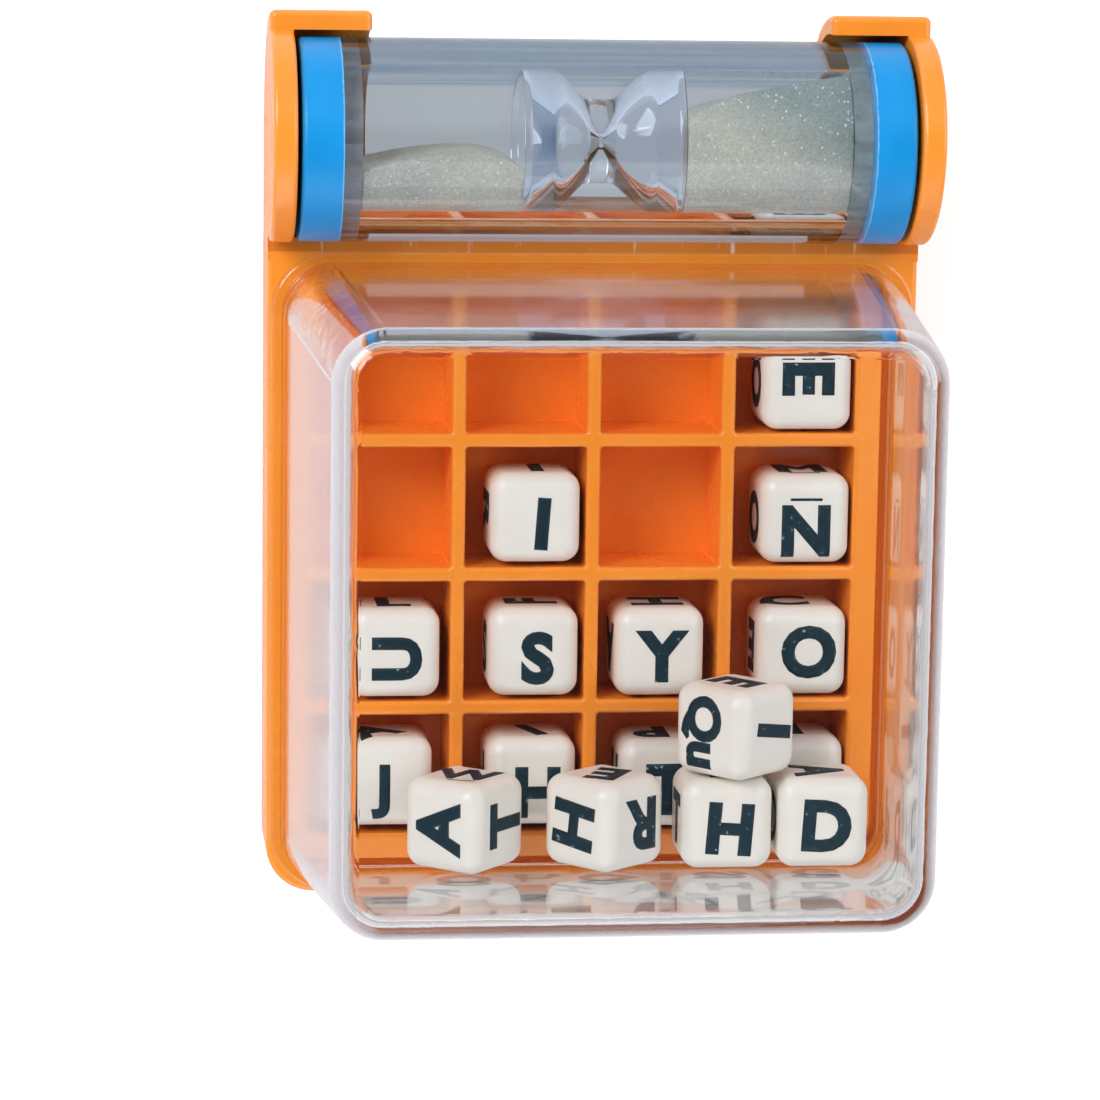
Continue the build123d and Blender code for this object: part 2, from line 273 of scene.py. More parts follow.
# %% [markdown]
# ## Clear mouldings
# The cover is crystal polystyrene, moulded and highly polished; the timer's tube is drawn acrylic
# with a thick wall, and its waist is moulded styrene. All are real refracting solids. The cover's side
# walls bend and mirror what is behind them, while what lies in the tube's air-filled bore keeps its
# size. Lamps' shadow rays and diffuse bounces pass straight through, which keeps the inside as bright
# as it is under a real clear cover without waiting for caustics. A real wall also lets light out where
# it is scuffed, so a ray that has bounced about inside a wall several times leaves it, instead of
# ending black. Clear plastic isn't quite clear: it swallows a little light on the way, so that long
# ways through it show as darker, blue grey edges on the tube and warm ones on the cover. The side walls
# were dragged along the mould as the cover came out of it, which left them a shade less polished than
# the flat front.

# %% Clear plastic: one recipe, three finishes
SWELL_MM = 4.0
SWELL_DEPTH = 0.008 * MM
# faces tilted less than the first value are the flat front, those past the second are side walls
FLAT_FRONT = (0.99, 0.90)
MOST_BOUNCES = 3.5
TUBE_SMOKE_PER_M = 150.0
COVER_SMOKE_PER_M = 48.0


def clear_plastic(name, colour, ior, smear_mm, haze, draw_marks=0.0, smoke=None):
    """Refracting plastic with swelling walls, smears on its polish, dulled sides and tinted depth."""
    material, tree = new_tree(name)
    place = add(tree, "ShaderNodeTexCoord").outputs["Object"]
    smear = add(tree, "ShaderNodeTexNoise", {"Vector": place, "Scale": 1 / (smear_mm * MM), "Detail": 4.0,
                                             "Roughness": 0.65})
    dull = add(tree, "ShaderNodeMapRange", {"Value": smear.outputs["Fac"], "From Min": 0.52, "From Max": 0.75,
                                            "To Max": haze})
    normal = add(tree, "ShaderNodeTexCoord").outputs["Normal"]
    upright = add(tree, "ShaderNodeSeparateXYZ", {"Vector": normal})
    facing = add(tree, "ShaderNodeMath", {0: upright.outputs["Z"]}, operation="ABSOLUTE")
    drawn = add(tree, "ShaderNodeMapRange", {"Value": facing.outputs[0], "From Min": FLAT_FRONT[0],
                                             "From Max": FLAT_FRONT[1], "To Max": draw_marks})
    matt = add(tree, "ShaderNodeMath", {0: dull.outputs[0], 1: drawn.outputs[0]}, operation="MAXIMUM")
    swell = add(tree, "ShaderNodeTexNoise", {"Vector": place, "Scale": 1 / (SWELL_MM * MM), "Detail": 1.0})
    wavy = add(tree, "ShaderNodeBump", {"Height": swell.outputs["Fac"], "Strength": 0.5,
                                        "Distance": SWELL_DEPTH})
    solid = add(tree, "ShaderNodeBsdfPrincipled", {"Base Color": linear(colour), "Roughness": matt.outputs[0],
                                                   "IOR": ior, "Transmission Weight": 1.0,
                                                   "Normal": wavy.outputs[0]})
    window = add(tree, "ShaderNodeBsdfTransparent", {"Color": linear(colour)})
    path = add(tree, "ShaderNodeLightPath")
    unfocused = add(tree, "ShaderNodeMath", {0: path.outputs["Is Shadow Ray"],
                                             1: path.outputs["Is Diffuse Ray"]}, operation="MAXIMUM")
    trapped = add(tree, "ShaderNodeMath", {0: path.outputs["Ray Depth"], 1: MOST_BOUNCES},
                  operation="GREATER_THAN")
    passing = add(tree, "ShaderNodeMath", {0: unfocused.outputs[0], 1: trapped.outputs[0]},
                  operation="MAXIMUM")
    both = add(tree, "ShaderNodeMixShader", {"Fac": passing.outputs[0], 1: solid.outputs[0],
                                             2: window.outputs[0]})
    output = add(tree, "ShaderNodeOutputMaterial", {"Surface": both.outputs[0]})
    if smoke:
        depth = add(tree, "ShaderNodeVolumeAbsorption", {"Color": linear(smoke[0]), "Density": smoke[1]})
        tree.links.new(depth.outputs[0], output.inputs["Volume"])
    return material


cover_clear = clear_plastic("crystal_polystyrene_cover", "#FEFEFE", 1.59, 6.0, 0.03, 0.06,
                            smoke=("#7A4C48", COVER_SMOKE_PER_M))
tube_clear = clear_plastic("acrylic_tube", "#FDFDFE", 1.49, 4.0, 0.03,
                           smoke=("#84AFC8", TUBE_SMOKE_PER_M))
waist_clear = clear_plastic("clear_styrene_waist", "#FAFBFE", 1.57, 3.0, 0.02)
nodes["clear_cover"].material_slots[0].material = cover_clear
nodes["timer_tube"].material_slots[0].material = tube_clear
print("clear plastics:", cover_clear.name, tube_clear.name, waist_clear.name)

# %% [markdown]
# The tube was drawn, so lines run along it. They show on its back, where the wall is seen edge on:
# the plastic looks blue grey there, in streaks. A noise that is stretched along the tube tints it.

# %% Draw lines on the tube's back
LINE_MM = 0.45
LINE_STRETCH = 0.02
BACK_FROM_AXIS = 3.9 * MM
BACK_FADE = 0.3 * MM
tube_low, tube_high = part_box("timer_tube")
back_from = (tube_low.y + tube_high.y) / 2 + BACK_FROM_AXIS
tree = tube_clear.node_tree
place = add(tree, "ShaderNodeTexCoord").outputs["Object"]
stretched = add(tree, "ShaderNodeMapping", {"Vector": place, "Scale": (LINE_STRETCH, 1.0, 1.0)})
draw_lines = add(tree, "ShaderNodeTexNoise", {"Vector": stretched.outputs[0], "Scale": 1 / (LINE_MM * MM),
                                              "Detail": 3.0, "Roughness": 0.6})
line_depth = add(tree, "ShaderNodeMapRange", {"Value": draw_lines.outputs["Fac"], "From Min": 0.38,
                                              "From Max": 0.62, "To Min": 0.45, "To Max": 1.0})
tube_spot = add(tree, "ShaderNodeSeparateXYZ", {"Vector": place})
on_back = add(tree, "ShaderNodeMapRange", {"Value": tube_spot.outputs["Y"], "From Min": back_from,
                                           "From Max": back_from + BACK_FADE})
lined = add(tree, "ShaderNodeMath", {0: on_back.outputs[0], 1: line_depth.outputs[0]}, operation="MULTIPLY")
back_tint = add(tree, "ShaderNodeMix", {"Factor": lined.outputs[0], 6: linear("#FDFDFE"),
                                        7: linear("#A2B9CE")}, data_type="RGBA")
clear_body = next(node for node in tree.nodes if node.type == "BSDF_PRINCIPLED")
tree.links.new(back_tint.outputs[2], clear_body.inputs["Base Color"])
print("draw lines in mm apart:", LINE_MM)

# %% [markdown]
# ## Waist of the timer
# The waist is a thick hourglass: its outside narrows from the bore to a straight neck, and inside, a
# wide funnel runs from each mouth to the pinhole in the middle. The piece is turned about the tube's
# axis: one closed profile, spun once round. The CAD solid has the same profile in fewer steps; here it
# is finer and smooth, because refraction shows every step.

# %% Helpers for meshes
SAME_POINT = 0.0005 * MM


def piece_from(bm, name, material, body, smooth_degrees=None):
    """Writes a bmesh as a piece at the origin that rides on a body."""
    bmesh.ops.recalc_face_normals(bm, faces=bm.faces)
    mesh = bpy.data.meshes.new(name)
    bm.to_mesh(mesh)
    bm.free()
    mesh.materials.append(material)
    piece = bpy.data.objects.new(name, mesh)
    scene.collection.objects.link(piece)
    if smooth_degrees is not None:
        mesh.polygons.foreach_set("use_smooth", [True] * len(mesh.polygons))
        mesh.set_sharp_from_angle(angle=math.radians(smooth_degrees))
    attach(piece, body)
    return piece


def spun_about_x(profile, centre, steps):
    """Closed profile of (station, radius) points turned about an axis along X."""
    bm = bmesh.new()
    ring = [bm.verts.new(centre + Vector((x, r, 0.0))) for x, r in profile]
    edges = [bm.edges.new((a, b)) for a, b in zip(ring, ring[1:] + ring[:1])]
    bmesh.ops.spin(bm, geom=ring + edges, cent=centre, axis=(1.0, 0.0, 0.0), angle=2 * math.pi, steps=steps,
                   use_merge=True, use_duplicate=False)
    bmesh.ops.remove_doubles(bm, verts=bm.verts, dist=SAME_POINT)
    return bm


# %% Spin the waist
neck_low, neck_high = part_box("timer_neck")
axis = (tube_low + tube_high) / 2
neck_middle = (neck_low.x + neck_high.x) / 2
neck_half = (neck_high.x - neck_low.x) / 2
BORE = (neck_high.z - neck_low.z) / 2
BORE_PLAY = 0.02 * MM
MOUTH_WALL = 0.45 * MM
NECK_RADIUS = 2.4 * MM
NECK_FLAT = 0.7 * MM
FLARE_REACH = 3.0 * MM
PINHOLE = 0.3 * MM
PINHOLE_FLAT = 0.15 * MM
MOUTH_LAND = 0.3 * MM
BODY_ROUNDNESS, FUNNEL_ROUNDNESS = 0.3, 0.2
STATIONS = 30
STEPS_ROUND = 96
SMOOTH_DEGREES = 40


def side_of_waist(waist, mouth, flat, reach, roundness):
    """Points (station, radius) from the middle of the waist out to its right mouth."""
    points = []
    for i in range(STATIONS + 1):
        share = i / STATIONS
        smooth = share * share * (3 - 2 * share)
        flare = (1 - roundness) * smooth + roundness * math.sin(share * math.pi / 2)
        points.append((flat + (reach - flat) * share, waist + (mouth - waist) * flare))
    return points + [(neck_half, mouth)]


def both_sides(side):
    """The same points mirrored about the middle, from the left mouth to the right one."""
    return [(-x, r) for x, r in reversed(side)] + side


outside = both_sides(side_of_waist(NECK_RADIUS, BORE - BORE_PLAY, NECK_FLAT, FLARE_REACH, BODY_ROUNDNESS))
funnels = []
for i in range(STATIONS + 1):
    share = i / STATIONS
    opening = (1 - FUNNEL_ROUNDNESS) * share + FUNNEL_ROUNDNESS * math.sin(share * math.pi / 2)
    funnels.append((PINHOLE_FLAT + (neck_half - MOUTH_LAND - PINHOLE_FLAT) * share,
                    PINHOLE + (BORE - MOUTH_WALL - PINHOLE) * opening))
inside = both_sides(funnels + [(neck_half, BORE - MOUTH_WALL)])
profile = outside + inside[::-1]
waist = piece_from(
    spun_about_x(profile, Vector((neck_middle, axis.y, axis.z)), STEPS_ROUND),
    "timer_waist", waist_clear, "timer", SMOOTH_DEGREES)
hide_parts("timer_neck")
print("waist faces:", len(waist.data.polygons))

# %% [markdown]
# ## Sand
# Washed silica sand, with grains about 0.1 mm across: dull and pale. A few grains are painted near
# white, a painted glint, and are glossier too. It came to rest while the toy was held upright, so it
# lies against the side of the bore. Towards the back of the right end it is painted greener and darker,
# as painted shade where the cap and the cradle's lip shade it. The heap starts as a merged copy of its
# CAD solid, is remeshed evenly, and then every point is pushed by a grain-sized noise. It is kept just
# inside the bore. Loose grains cling to the wall beside each heap.

# %% Timer sand material
GRAIN_MM = 0.1
GRAIN_DEPTH = 0.02 * MM
DRIFT_MM = 4.0
# painted shade on the back of the right heap: its slant, start and fade
SAND_SHADE_SLOPE = 0.45
SAND_SHADE_FROM_AXIS = 3.6 * MM
SAND_SHADE_FADE = 3.5 * MM
sand_shade_from = axis.y + SAND_SHADE_FROM_AXIS

sand, tree = new_tree("silica_timer_sand")
place = add(tree, "ShaderNodeTexCoord").outputs["Object"]
grains = add(tree, "ShaderNodeTexVoronoi", {"Vector": place, "Scale": 1 / (GRAIN_MM * MM)})
grain_apart = add(tree, "ShaderNodeSeparateColor", {"Color": grains.outputs["Color"]})
drift = add(tree, "ShaderNodeTexNoise", {"Vector": place, "Scale": 1 / (DRIFT_MM * MM), "Detail": 2.0})
warm = add(tree, "ShaderNodeMix", {"Factor": drift.outputs["Fac"], 6: linear("#BDB8A7"),
                                   7: linear("#EADCC0")}, data_type="RGBA")
spot = add(tree, "ShaderNodeSeparateXYZ", {"Vector": place})
# painted shade: greener and darker towards the back of the right end, where the cap and lip shade the heap
sand_shade_side = add(tree, "ShaderNodeMath", {0: spot.outputs["X"], 1: SAND_SHADE_SLOPE, 2: spot.outputs["Y"]},
                operation="MULTIPLY_ADD")
sand_shade = add(tree, "ShaderNodeMapRange", {"Value": sand_shade_side.outputs[0], "From Min": sand_shade_from,
                                        "From Max": sand_shade_from + SAND_SHADE_FADE, "To Max": 0.75})
shaded_sand = add(tree, "ShaderNodeMix", {"Factor": sand_shade.outputs[0], 6: warm.outputs[2], 7: linear("#80928A")},
              data_type="RGBA")
dark_grain = add(tree, "ShaderNodeMapRange", {"Value": grain_apart.outputs["Red"], "To Min": 0.85,
                                              "To Max": 1.1})
toned = add(tree, "ShaderNodeVectorMath", {0: shaded_sand.outputs[2], "Scale": dark_grain.outputs[0]},
            operation="SCALE")
# painted glint: a few grains lightened near white; the next map makes the same grains glossier
glint_grain = add(tree, "ShaderNodeMapRange", {"Value": grain_apart.outputs["Green"], "From Min": 0.97,
                                         "From Max": 0.99})
glinting_sand = add(tree, "ShaderNodeMix", {"Factor": glint_grain.outputs[0], 6: toned.outputs[0], 7: linear("#F6F5EA")},
               data_type="RGBA")
grain_gloss = add(tree, "ShaderNodeMapRange", {"Value": grain_apart.outputs["Green"], "From Min": 0.90,
                                               "From Max": 0.97, "To Min": 0.7, "To Max": 0.15})
grain_bump = add(tree, "ShaderNodeBump", {"Height": grains.outputs["Distance"], "Strength": 0.6,
                                          "Distance": GRAIN_DEPTH})
surface = add(tree, "ShaderNodeBsdfPrincipled", {"Base Color": glinting_sand.outputs[2],
                                                 "Roughness": grain_gloss.outputs[0],
                                                 "IOR": 1.46, "Normal": grain_bump.outputs[0]})
add(tree, "ShaderNodeOutputMaterial", {"Surface": surface.outputs[0]})
print("grains in mm:", GRAIN_MM)

# %% Heaps of sand
VOXEL_MM = 0.14
LUMP_MM = 1.3 * GRAIN_MM
GRAIN_PUSH = 0.05 * MM
SAND_PLAY = 0.03 * MM
END_PLAY = 0.01 * MM
SAND_SMOOTH_DEGREES = 60


def heap_of_sand(node, name):
    """Remeshed, grainy copy of one CAD sand solid, kept inside the bore."""
    mesh = nodes[node].data.copy()
    bm = bmesh.new()
    bm.from_mesh(mesh)
    bmesh.ops.remove_doubles(bm, verts=bm.verts, dist=SAME_POINT)
    bm.to_mesh(mesh)
    bm.free()
    rough = bpy.data.objects.new(name + "_rough", mesh)
    scene.collection.objects.link(rough)
    voxels = rough.modifiers.new("even_mesh", "REMESH")
    voxels.mode = "VOXEL"
    voxels.voxel_size = VOXEL_MM * MM
    ready = bpy.data.meshes.new_from_object(rough.evaluated_get(bpy.context.evaluated_depsgraph_get()))
    bpy.data.objects.remove(rough)
    low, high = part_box(node)
    bm = bmesh.new()
    bm.from_mesh(ready)
    for v in bm.verts:
        push = noise.noise_vector(v.co / (LUMP_MM * MM))
        v.co += push * GRAIN_PUSH
        across = Vector((0.0, v.co.y - axis.y, v.co.z - axis.z))
        if across.length > BORE - SAND_PLAY:
            v.co += across.normalized() * (BORE - SAND_PLAY - across.length)
        v.co.x = min(max(v.co.x, low.x + END_PLAY), high.x - END_PLAY)
    piece = piece_from(bm, name, sand, "timer", SAND_SMOOTH_DEGREES)
    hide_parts(node)
    print(name, "faces:", len(piece.data.polygons))
    return piece


heap_of_sand("timer_sand_left", "sand_heap_left")
heap_of_sand("timer_sand_right", "sand_heap_right")

# %% [markdown]
# ## Timer caps
# Each cap is a solid disc of moulded blue polystyrene, glossy and slightly clouded, with a plug that
# closes the bore. The plug was smeared with glue when it went in, so it looks dull grey brown through
# the tube, and on the right it is dusted with the sand that lies against it. The blue has a ragged,
# paler edge where it meets the clear wall. All of this follows the distance from the middle of the tube.

# %% Blue caps
CLOUD_MM = 3.0
FRAY_MM = 0.35
FRAY_REACH = 0.16 * MM
EDGE_FADE = 0.03 * MM
PLUG_FROM, PLUG_FULL = 0.02 * MM, 0.04 * MM
caps = ["timer_cap_left", "timer_cap_right"]

blue, tree = new_tree("blue_polystyrene_cap")
place = add(tree, "ShaderNodeTexCoord").outputs["Object"]
cloud = add(tree, "ShaderNodeTexNoise", {"Vector": place, "Scale": 1 / (CLOUD_MM * MM), "Detail": 3.0})
body = add(tree, "ShaderNodeMix", {"Factor": cloud.outputs["Fac"], 6: linear("#0E88CC"),
                                   7: linear("#1A9AE0")}, data_type="RGBA")
spot = add(tree, "ShaderNodeSeparateXYZ", {"Vector": place})
along = add(tree, "ShaderNodeMath", {0: spot.outputs["X"]}, operation="ABSOLUTE")
fray = add(tree, "ShaderNodeTexNoise", {"Vector": place, "Scale": 1 / (FRAY_MM * MM), "Detail": 3.0})
frayed = add(tree, "ShaderNodeMath", {0: fray.outputs["Fac"], 1: -FRAY_REACH, 2: along.outputs[0]},
             operation="MULTIPLY_ADD")
edge = add(tree, "ShaderNodeMapRange", {"Value": frayed.outputs[0], "From Min": tube_high.x,
                                        "From Max": tube_high.x - EDGE_FADE})
rim = add(tree, "ShaderNodeMix", {"Factor": edge.outputs[0], 6: body.outputs[2], 7: linear("#6DB9EE")},
          data_type="RGBA")
plug = add(tree, "ShaderNodeMapRange", {"Value": along.outputs[0], "From Min": tube_high.x - PLUG_FROM,
                                        "From Max": tube_high.x - PLUG_FULL})
glue = add(tree, "ShaderNodeMix", {"Factor": fray.outputs["Fac"], 6: linear("#ABA19D"),
                                   7: linear("#D3C8C0")}, data_type="RGBA")
dusted = add(tree, "ShaderNodeMix", {"Factor": fray.outputs["Fac"], 6: linear("#96A5A6"),
                                     7: linear("#CFD0BE")}, data_type="RGBA")
on_right = add(tree, "ShaderNodeMath", {0: spot.outputs["X"], 1: 0.0}, operation="GREATER_THAN")
lining = add(tree, "ShaderNodeMix", {"Factor": on_right.outputs[0], 6: glue.outputs[2],
                                     7: dusted.outputs[2]}, data_type="RGBA")
shade = add(tree, "ShaderNodeMix", {"Factor": plug.outputs[0], 6: rim.outputs[2], 7: lining.outputs[2]},
            data_type="RGBA")
cap_gloss = add(tree, "ShaderNodeMapRange", {"Value": cloud.outputs["Fac"], "To Min": 0.25, "To Max": 0.4})
surface = add(tree, "ShaderNodeBsdfPrincipled", {"Base Color": shade.outputs[2],
                                                 "Roughness": cap_gloss.outputs[0],
                                                 "IOR": 1.55, "Specular IOR Level": 0.25})
add(tree, "ShaderNodeOutputMaterial", {"Surface": surface.outputs[0]})
for name in caps:
    nodes[name].material_slots[0].material = blue
print("blue caps:", len(caps))

# %% Grains that cling to the bore
# from and to in mm along the tube, from and to in degrees round it, number of grains
CLINGING = [(-13.9, -11.2, 190, 262, 90), (7.0, 13.9, 30, 110, 110)]
GRAIN_RADII = (0.025, 0.055)
GATHERED = 1.6
CLING_GAP = 0.005 * MM
random.seed(11)

bm = bmesh.new()
for x_from, x_to, angle_from, angle_to, count in CLINGING:
    for _ in range(count):
        size = random.uniform(*GRAIN_RADII) * MM
        spread = random.random() ** GATHERED
        x = (x_from + spread * (x_to - x_from) if x_from < 0 else x_to - spread * (x_to - x_from)) * MM
        angle = math.radians(random.uniform(angle_from, angle_to))
        reach = BORE - size - CLING_GAP
        spot = Vector((x, axis.y + reach * math.sin(angle), axis.z + reach * math.cos(angle)))
        bmesh.ops.create_icosphere(bm, subdivisions=1, radius=size, matrix=Matrix.Translation(spot))
clinging = piece_from(bm, "sand_clinging", sand, "timer")
print("clinging grains:", sum(row[-1] for row in CLINGING))

# %% [markdown]
# ## Dice
# The dice are moulded in ivory white melamine, hard and softly glossy, with every edge well rounded.
# They have been rattled about: the colour is warmer and a little dirtier in patches, with tiny dents.
# The CAD solids already have that shape, so only the finish is added.

# %% Ivory melamine
PATCH_MM = 2.4
DIRT_MM = 1.1
DENT_MM = 0.6
DENT_DEPTH = 0.03 * MM

ivory, tree = new_tree("ivory_melamine_moulded")
place = add(tree, "ShaderNodeTexCoord").outputs["Object"]
patch = add(tree, "ShaderNodeTexNoise", {"Vector": place, "Scale": 1 / (PATCH_MM * MM), "Detail": 4.0,
                                         "Roughness": 0.65})
body = add(tree, "ShaderNodeMix", {"Factor": patch.outputs["Fac"], 6: linear("#E6DFD3"),
                                   7: linear("#F4F0E6")}, data_type="RGBA")
dirt = add(tree, "ShaderNodeTexVoronoi", {"Vector": place, "Scale": 1 / (DIRT_MM * MM), "Randomness": 1.0})
speck = add(tree, "ShaderNodeMapRange", {"Value": dirt.outputs["Distance"], "From Min": 0.05, "From Max": 0.02,
                                         "To Max": 0.6})
skin = add(tree, "ShaderNodeMix", {"Factor": speck.outputs[0], 6: body.outputs[2], 7: linear("#9C948A")},
           data_type="RGBA")
die_gloss = add(tree, "ShaderNodeMapRange", {"Value": patch.outputs["Fac"], "From Min": 0.3, "From Max": 0.7,
                                             "To Min": 0.28, "To Max": 0.45})
dent = add(tree, "ShaderNodeTexNoise", {"Vector": place, "Scale": 1 / (DENT_MM * MM), "Detail": 2.0})
dented = add(tree, "ShaderNodeBump", {"Height": dent.outputs["Fac"], "Strength": 0.3,
                                      "Distance": DENT_DEPTH})
surface = add(tree, "ShaderNodeBsdfPrincipled", {"Base Color": skin.outputs[2],
                                                 "Roughness": die_gloss.outputs[0],
                                                 "IOR": 1.6, "Normal": dented.outputs[0]})
add(tree, "ShaderNodeOutputMaterial", {"Surface": surface.outputs[0]})
dice = sorted(name for name in nodes if name.startswith("die_"))
for name in dice:
    nodes[name].material_slots[0].material = ivory
print("dice:", len(dice))

# %% [markdown]
# ## Letters
# Each face carries one plain capital, hot stamped in dark green blue ink, which dries nearly matt. The
# ink lies a hair above the face and is chipped in places; on two faces that rub on each other it is
# worn flush. A letter is a text object, made bold by the bevel round its outline, which keeps sharp
# inner corners clean where a plain offset would fold them over. It is turned into a mesh, sized from
# its real cap height and set on its face, clear of the die's edges. There it is cut along the lines
# where the face starts to round off, and bent over the edge. Letters that could be read upside down
# have a thin line under them.

# %% Stamped ink
CHIP_MM = 0.42

ink, tree = new_tree("stamped_ink")
place = add(tree, "ShaderNodeTexCoord").outputs["Object"]
chips = add(tree, "ShaderNodeTexNoise", {"Vector": place, "Scale": 1 / (CHIP_MM * MM), "Detail": 3.0,
                                         "Roughness": 0.6})
chipped = add(tree, "ShaderNodeMapRange", {"Value": chips.outputs["Fac"], "From Min": 0.66,
                                           "From Max": 0.72})
wash = add(tree, "ShaderNodeMix", {"Factor": chips.outputs["Fac"], 6: linear("#061A23"),
                                   7: linear("#12343F")}, data_type="RGBA")
colour = add(tree, "ShaderNodeMix", {"Factor": chipped.outputs[0], 6: wash.outputs[2],
                                     7: linear("#9FB0B2")}, data_type="RGBA")
surface = add(tree, "ShaderNodeBsdfPrincipled", {"Base Color": colour.outputs[2], "Roughness": 0.5,
                                                 "IOR": 1.5, "Specular IOR Level": 0.25})
add(tree, "ShaderNodeOutputMaterial", {"Surface": surface.outputs[0]})
print("chips in mm:", CHIP_MM)

# %% One letter as a mesh
CAP_HEIGHT = 3.1 * MM
INK_PROUD = 0.03 * MM
INK_DEEP = 0.04 * MM
INK_WORN = 0.004 * MM
WORN_FLAT = {("die_loose_c", "right"), ("die_loose_d", "left")}
BOLDER = 0.05
TEXT_DEPTH = 0.05
CURVE_STEPS = 4


def letter_mesh(word):
    """Solid letter as the font draws it, lying in the XY plane; it gets its size and place later."""
    text = bpy.data.curves.new("letter", "FONT")
    text.body = word
    text.bevel_depth = BOLDER
    text.bevel_resolution = 0
    text.extrude = TEXT_DEPTH
    text.resolution_u = CURVE_STEPS
    holder = bpy.data.objects.new("letter", text)
    scene.collection.objects.link(holder)
    bpy.context.view_layer.update()
    mesh = bpy.data.meshes.new_from_object(holder.evaluated_get(bpy.context.evaluated_depsgraph_get()))
    bpy.data.objects.remove(holder)
    return mesh


def mesh_span(mesh):
    """Lowest and highest corner of a mesh."""
    points = [v.co for v in mesh.vertices]
    low = Vector(min(p[i] for p in points) for i in range(3))
    high = Vector(max(p[i] for p in points) for i in range(3))
    return low, high


h_low, h_high = mesh_span(letter_mesh("H"))
LETTER_SCALE = CAP_HEIGHT / (h_high.y - h_low.y)
h_width = (h_high.x - h_low.x) * LETTER_SCALE
print("letter scale:", round(LETTER_SCALE, 5), "H width in mm:", round(h_width / MM, 2))

# %% Faces of a die and what each one carries
FACES = {
    "front": Matrix(((1, 0, 0), (0, 1, 0), (0, 0, 1))),
    "left": Matrix(((0, 0, -1), (0, 1, 0), (1, 0, 0))),
    "right": Matrix(((0, 0, 1), (0, 1, 0), (-1, 0, 0))),
    "top": Matrix(((1, 0, 0), (0, 0, 1), (0, -1, 0))),
    "bottom": Matrix(((1, 0, 0), (0, 0, -1), (0, 1, 0))),
    "back": Matrix(((-1, 0, 0), (0, 1, 0), (0, 0, -1))),
}
TURN_ABOUT_Y = {"die_loose_a": -40.0, "die_loose_b": -49.0, "die_loose_e": -48.5}
# die: face, letter, turn in degrees anticlockwise, shift right and up in mm
SHOWN = {
    "die_cell_r1c4": [("front", "E", -90, 0.0, 0.4), ("left", "O", 0, 0.0, 0.0), ("top", "C", 0, 0.0, 0.8)],
    "die_cell_r2c2": [("front", "I", -4, 0.4, -0.3), ("top", "I", 0, 0.2, 0.0)],
    "die_cell_r2c4": [("front", "N", 180, 0.0, -0.65), ("left", "O", 0, 0.0, -0.2), ("top", "M", 0, 0.0, 0.0)],
    "die_cell_r3c1": [("front", "U", 90, 0.1, -0.28), ("top", "L", 0, 0.0, 0.0)],
    "die_cell_r3c2": [("front", "S", 0, 0.2, -0.3), ("top", "F", 90, 0.0, 0.0)],
    "die_cell_r3c3": [("front", "Y", 0, 0.1, -0.2), ("top", "H", 90, 0.0, 0.0)],
    "die_cell_r3c4": [("front", "O", 0, 0.35, 0.0), ("top", "C", 0, -0.8, 0.0)],
    "die_cell_r4c1": [("front", "J", 0, -0.4, -0.5), ("top", "A", 30, -0.9, -0.6)],
    "die_cell_r4c2": [("front", "H", 0, 0.35, -0.6), ("top", "I", 20, 0.2, 0.0)],
    "die_cell_r4c3": [("front", "T", 0, 0.2, -0.3), ("top", "P", 180, -0.6, 0.0)],
    "die_cell_r4c4": [("front", "W", 180, 0.3, -0.6), ("top", "I", 0, 0.0, 0.0)],
    "die_loose_a": [("front", "A", 90, 0.0, 0.0), ("right", "T", 90, 0.3, 0.1), ("top", "W", 20, 0.0, 0.0)],
    "die_loose_b": [("front", "H", 84, 0.0, 0.0), ("right", "R", 180, 0.2, 0.0), ("top", "E", 200, 0.2, 0.0)],
    "die_loose_c": [("front", "H", -4, 0.1, -0.2)],
    "die_loose_d": [("front", "D", -3, 0.15, -0.1)],
    "die_loose_e": [("front", "Qu", -90, -0.4, 0.0), ("right", "I", 80, 0.3, 0.1)],
}
SPARE = "TESRALONIDCTHESWOPAGMBELTRNIVUFASEHTK"
UNDERLINED = "NWM"
SMALLER = {"Qu": 0.82, "W": 0.86, "U": 0.94, "J": 0.82}
LINE_HALF = (0.95 * MM, 0.08 * MM)
LINE_DEPTH = 0.1
LINE_DROP = 0.32 * MM
print("dice with chosen letters:", len(SHOWN))

# %% Stamp the letters
straight_low, straight_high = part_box("die_loose_c")
half_die = (straight_high.x - straight_low.x) / 2
EDGE_ROUND = 1.0 * MM
STEEPEST = 0.9
CUT_SHARES = (0.0, 0.2, 0.4, 0.6, 0.8)
LETTER_REACH = half_die - 0.42 * MM


def follow_edges(point):
    """A point of the ink, lowered where the face rounds off to its neighbours."""
    over = Vector([max(0.0, abs(v) - (half_die - EDGE_ROUND)) for v in point.xy])
    sunk = EDGE_ROUND - math.sqrt(EDGE_ROUND ** 2 - min(over.length, STEEPEST * EDGE_ROUND) ** 2)
    return Vector((point.x, point.y, point.z - sunk))


def cut_at_edges(bm):
    """Cuts the ink along the lines where the face starts to round off, so that it can bend there."""
    flat = half_die - EDGE_ROUND
    for share in CUT_SHARES:
        for side in (Vector((1, 0, 0)), Vector((-1, 0, 0)), Vector((0, 1, 0)), Vector((0, -1, 0))):
            bmesh.ops.bisect_plane(bm, geom=bm.verts[:] + bm.edges[:] + bm.faces[:], dist=SAME_POINT,
                                   plane_co=side * (flat + share * EDGE_ROUND), plane_no=side)


def underlined(mesh):
    """Adds the thin line under a letter that could be read upside down."""
    low, high = mesh_span(mesh)
    size = Matrix.Diagonal((2 * LINE_HALF[0] / LETTER_SCALE, 2 * LINE_HALF[1] / LETTER_SCALE, LINE_DEPTH, 1.0))
    spot = Matrix.Translation(((low.x + high.x) / 2, low.y - LINE_DROP / LETTER_SCALE, 0.0))
    bm = bmesh.new()
    bm.from_mesh(mesh)
    bmesh.ops.create_cube(bm, size=1.0, matrix=spot @ size)
    bm.to_mesh(mesh)
    bm.free()


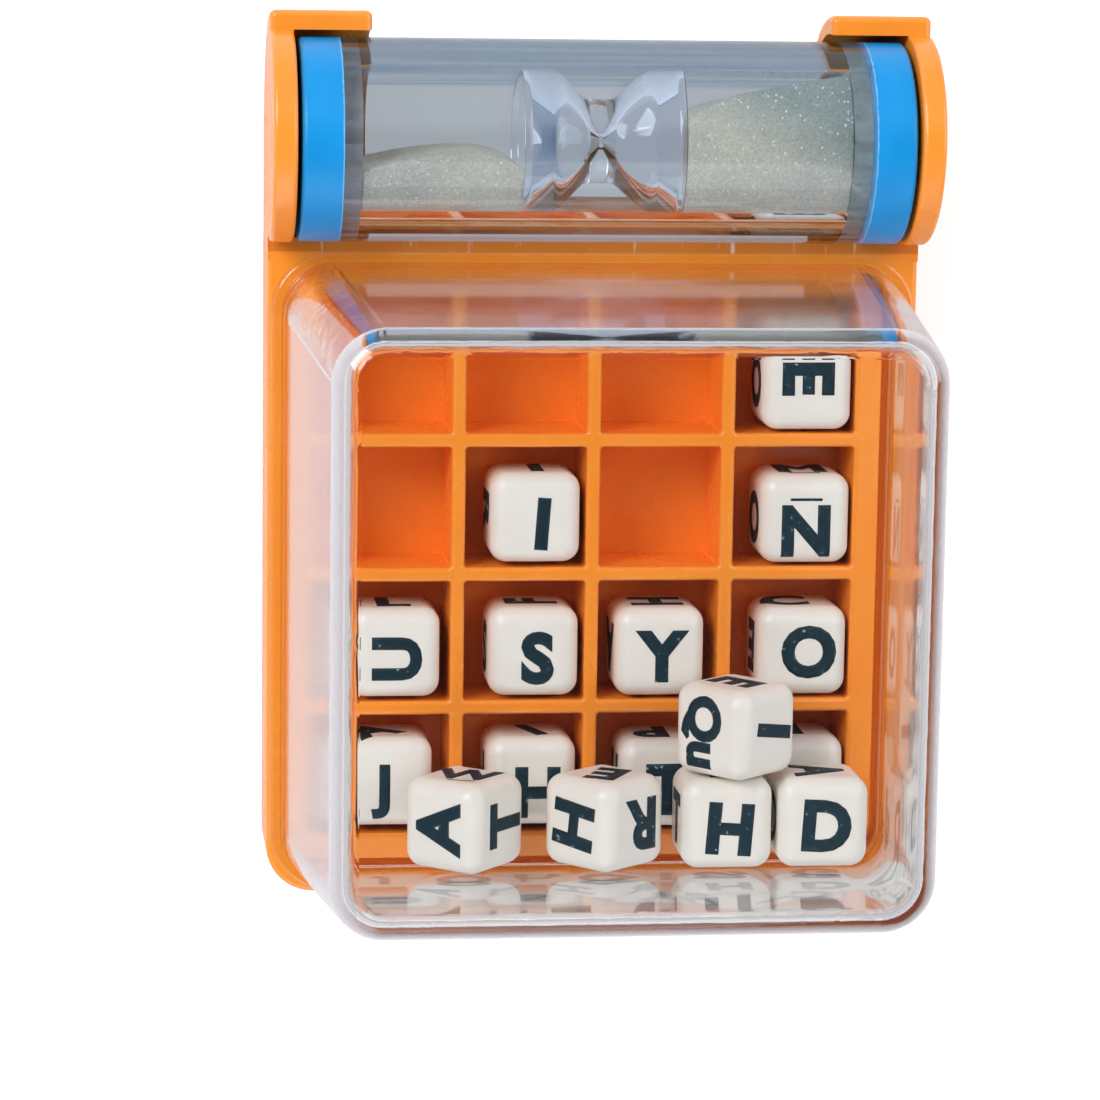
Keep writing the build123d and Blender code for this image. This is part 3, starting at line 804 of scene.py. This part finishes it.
def kept_on_face(mesh):
    """Shifts a letter back where it would reach too far towards the die's edges."""
    low, high = mesh_span(mesh)
    back = [max(0.0, -LETTER_REACH - low[i]) - max(0.0, high[i] - LETTER_REACH) for i in range(2)]
    mesh.transform(Matrix.Translation((back[0], back[1], 0.0)))


def bent_over_edges(mesh):
    """Lays a letter on the die's face and over its rounded edges."""
    bm = bmesh.new()
    bm.from_mesh(mesh)
    cut_at_edges(bm)
    for v in bm.verts:
        v.co = follow_edges(v.co)
    bmesh.ops.triangulate(bm, faces=bm.faces[:])
    bm.to_mesh(mesh)
    bm.free()


spare_used = 0
for name in dice:
    low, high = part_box(name)
    die_place = Matrix.Translation((low + high) / 2) @ Matrix.Rotation(
        math.radians(TURN_ABOUT_Y.get(name, 0.0)), 4, "Y")
    stamps = {face: (word, turn, right, up) for face, word, turn, right, up in SHOWN[name]}
    for face in FACES:
        if face not in stamps:
            stamps[face] = (SPARE[spare_used % len(SPARE)], 90 * (spare_used % 4), 0.0, 0.0)
            spare_used += 1
    bm = bmesh.new()
    for face, (word, turn, right, up) in stamps.items():
        mesh = letter_mesh(word)
        if word in UNDERLINED:
            underlined(mesh)
        letter_low, letter_high = mesh_span(mesh)
        scale = LETTER_SCALE * SMALLER.get(word, 1.0)
        proud = INK_WORN if (name, face) in WORN_FLAT else INK_PROUD
        thick = (proud + INK_DEEP) / (letter_high.z - letter_low.z)
        on_face = (
            Matrix.Translation((right * MM, up * MM, half_die + (proud - INK_DEEP) / 2))
            @ Matrix.Rotation(math.radians(turn), 4, "Z")
            @ Matrix.Diagonal((scale, scale, thick, 1.0))
            @ Matrix.Translation(-(letter_low + letter_high) / 2)
        )
        mesh.transform(on_face)
        kept_on_face(mesh)
        bent_over_edges(mesh)
        mesh.transform(die_place @ FACES[face].to_4x4())
        bm.from_mesh(mesh)
        bpy.data.meshes.remove(mesh)
    piece_from(bm, "letters_" + name.removeprefix("die_"), ink, name)
print("faces stamped:", 6 * len(dice), "with spare letters:", spare_used)
